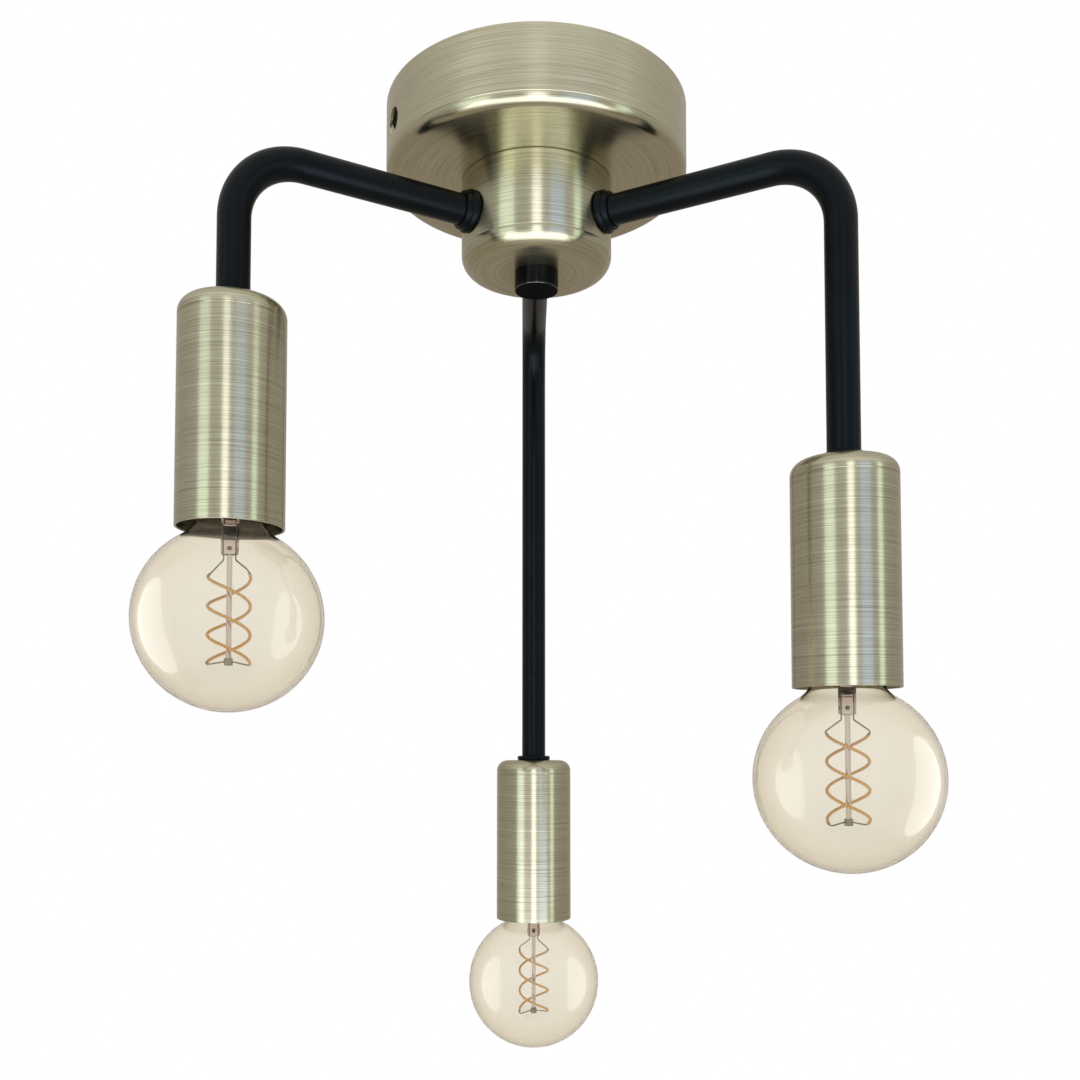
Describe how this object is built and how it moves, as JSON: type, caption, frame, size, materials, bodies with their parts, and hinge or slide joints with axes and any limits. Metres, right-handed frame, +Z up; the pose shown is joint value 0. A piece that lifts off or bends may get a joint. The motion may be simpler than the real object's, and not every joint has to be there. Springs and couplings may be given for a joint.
{
  "type": "semi flush ceiling light",
  "caption": "Ceiling light with a round brass canopy and hub, black bent tube arms that drop to different heights, brass socket cups and round amber filament lamps.",
  "frame": {"origin": "on the ceiling plane, at the centre of the mounting bracket and on the axis of canopy, rod, hub and knob", "axes": "+Z up into the ceiling; front toward -Y, where the arms stand to the left, right and rear"},
  "size_m": [0.3432, 0.308, 0.5035],
  "materials": {
    "turned_brass": "antique brass tone, fine turned brushing, lacquered",
    "black_powder_coat": "black satin powder coat",
    "black_knob": "black gloss side, flat end",
    "zinc_steel": "bright zinc plated",
    "plain_brass": "bright",
    "nickel_brass": "nickel plated brass sheet",
    "nickel_wire": "nickel wire",
    "white_polyamide": "moulded",
    "black_thermoplastic": "moulded, fine matt",
    "cable_sheath": "smooth sheath",
    "black_cap_glass": "black vitreous insulator",
    "amber_glass": "clear blown glass with amber tint",
    "clear_glass": "clear drawn glass",
    "led_filament": "phosphor coated filament, unlit"
  },
  "bodies": {
    "fixture": {"arm_cable_left": "cable_sheath", "arm_cable_rear": "cable_sheath", "arm_cable_right": "cable_sheath", "arm_left": "black_powder_coat", "arm_rear": "black_powder_coat", "arm_right": "black_powder_coat", "canopy": "turned_brass", "centre_contact_left": "plain_brass", "centre_contact_rear": "plain_brass", "centre_contact_right": "plain_brass", "cup_nipples": "zinc_steel", "cup_ring_left": "black_powder_coat", "cup_ring_rear": "black_powder_coat", "cup_ring_right": "black_powder_coat", "earth_screw": "plain_brass", "hub": "turned_brass", "hub_collar_left": "black_powder_coat", "hub_collar_rear": "black_powder_coat", "hub_collar_right": "black_powder_coat", "hub_nipples": "zinc_steel", "lamp_nuts": "zinc_steel", "lampholder_left": "black_thermoplastic", "lampholder_rear": "black_thermoplastic", "lampholder_right": "black_thermoplastic", "mounting_bracket": "zinc_steel", "screw_shell_left": "nickel_brass", "screw_shell_rear": "nickel_brass", "screw_shell_right": "nickel_brass", "socket_cup_left": "turned_brass", "socket_cup_rear": "turned_brass", "socket_cup_right": "turned_brass", "terminal_block": "white_polyamide", "terminal_inserts": "plain_brass", "terminal_screws": "zinc_steel", "threaded_rod": "zinc_steel"},
    "knob_travel": {"finial_washer": "zinc_steel"},
    "knob": {"finial_knob": "black_knob"},
    "bulb_left_travel": {"bulb_contact_left": "nickel_brass"},
    "bulb_left": {"bulb_cap_left": "nickel_brass", "bulb_insulator_left": "black_cap_glass", "bulb_glass_left": "amber_glass", "bulb_stem_left": "clear_glass", "bulb_filaments_left": "led_filament", "bulb_wires_left": "nickel_wire"},
    "bulb_right_travel": {"bulb_contact_right": "nickel_brass"},
    "bulb_right": {"bulb_cap_right": "nickel_brass", "bulb_insulator_right": "black_cap_glass", "bulb_glass_right": "amber_glass", "bulb_stem_right": "clear_glass", "bulb_filaments_right": "led_filament", "bulb_wires_right": "nickel_wire"},
    "bulb_rear_travel": {"bulb_contact_rear": "nickel_brass"},
    "bulb_rear": {"bulb_cap_rear": "nickel_brass", "bulb_insulator_rear": "black_cap_glass", "bulb_glass_rear": "amber_glass", "bulb_stem_rear": "clear_glass", "bulb_filaments_rear": "led_filament", "bulb_wires_rear": "nickel_wire"}
  },
  "joints": [
    {"name": "knob_drop", "type": "slide", "parent": "fixture", "child": "knob_travel", "axis": [0, 0, -1], "range_m": [0, 0.004]},
    {"name": "knob_turn", "type": "hinge", "parent": "knob_travel", "child": "knob", "pos_m": [0, 0, -0.081], "axis": [0, 0, -1], "range_deg": [0, 1440.1]},
    {"name": "bulb_left_drop", "type": "slide", "parent": "fixture", "child": "bulb_left_travel", "axis": [0, 0, -1], "range_m": [0, 0.01633]},
    {"name": "bulb_left_turn", "type": "hinge", "parent": "bulb_left_travel", "child": "bulb_left", "pos_m": [-0.13164, -0.076, -0.225], "axis": [0, 0, -1], "range_deg": [0, 1620]},
    {"name": "bulb_right_drop", "type": "slide", "parent": "fixture", "child": "bulb_right_travel", "axis": [0, 0, -1], "range_m": [0, 0.01633]},
    {"name": "bulb_right_turn", "type": "hinge", "parent": "bulb_right_travel", "child": "bulb_right", "pos_m": [0.13164, -0.076, -0.293], "axis": [0, 0, -1], "range_deg": [0, 1620]},
    {"name": "bulb_rear_drop", "type": "slide", "parent": "fixture", "child": "bulb_rear_travel", "axis": [0, 0, -1], "range_m": [0, 0.01633]},
    {"name": "bulb_rear_turn", "type": "hinge", "parent": "bulb_rear_travel", "child": "bulb_rear", "pos_m": [0, 0.152, -0.425], "axis": [0, 0, -1], "range_deg": [0, 1620]}
  ],
  "couplings": [
    {"joint": "knob_turn", "follows": "knob_drop", "rad_per_m": 6283.2},
    {"joint": "bulb_left_turn", "follows": "bulb_left_drop", "rad_per_m": 1731.4},
    {"joint": "bulb_right_turn", "follows": "bulb_right_drop", "rad_per_m": 1731.4},
    {"joint": "bulb_rear_turn", "follows": "bulb_rear_drop", "rad_per_m": 1731.4}
  ]
}
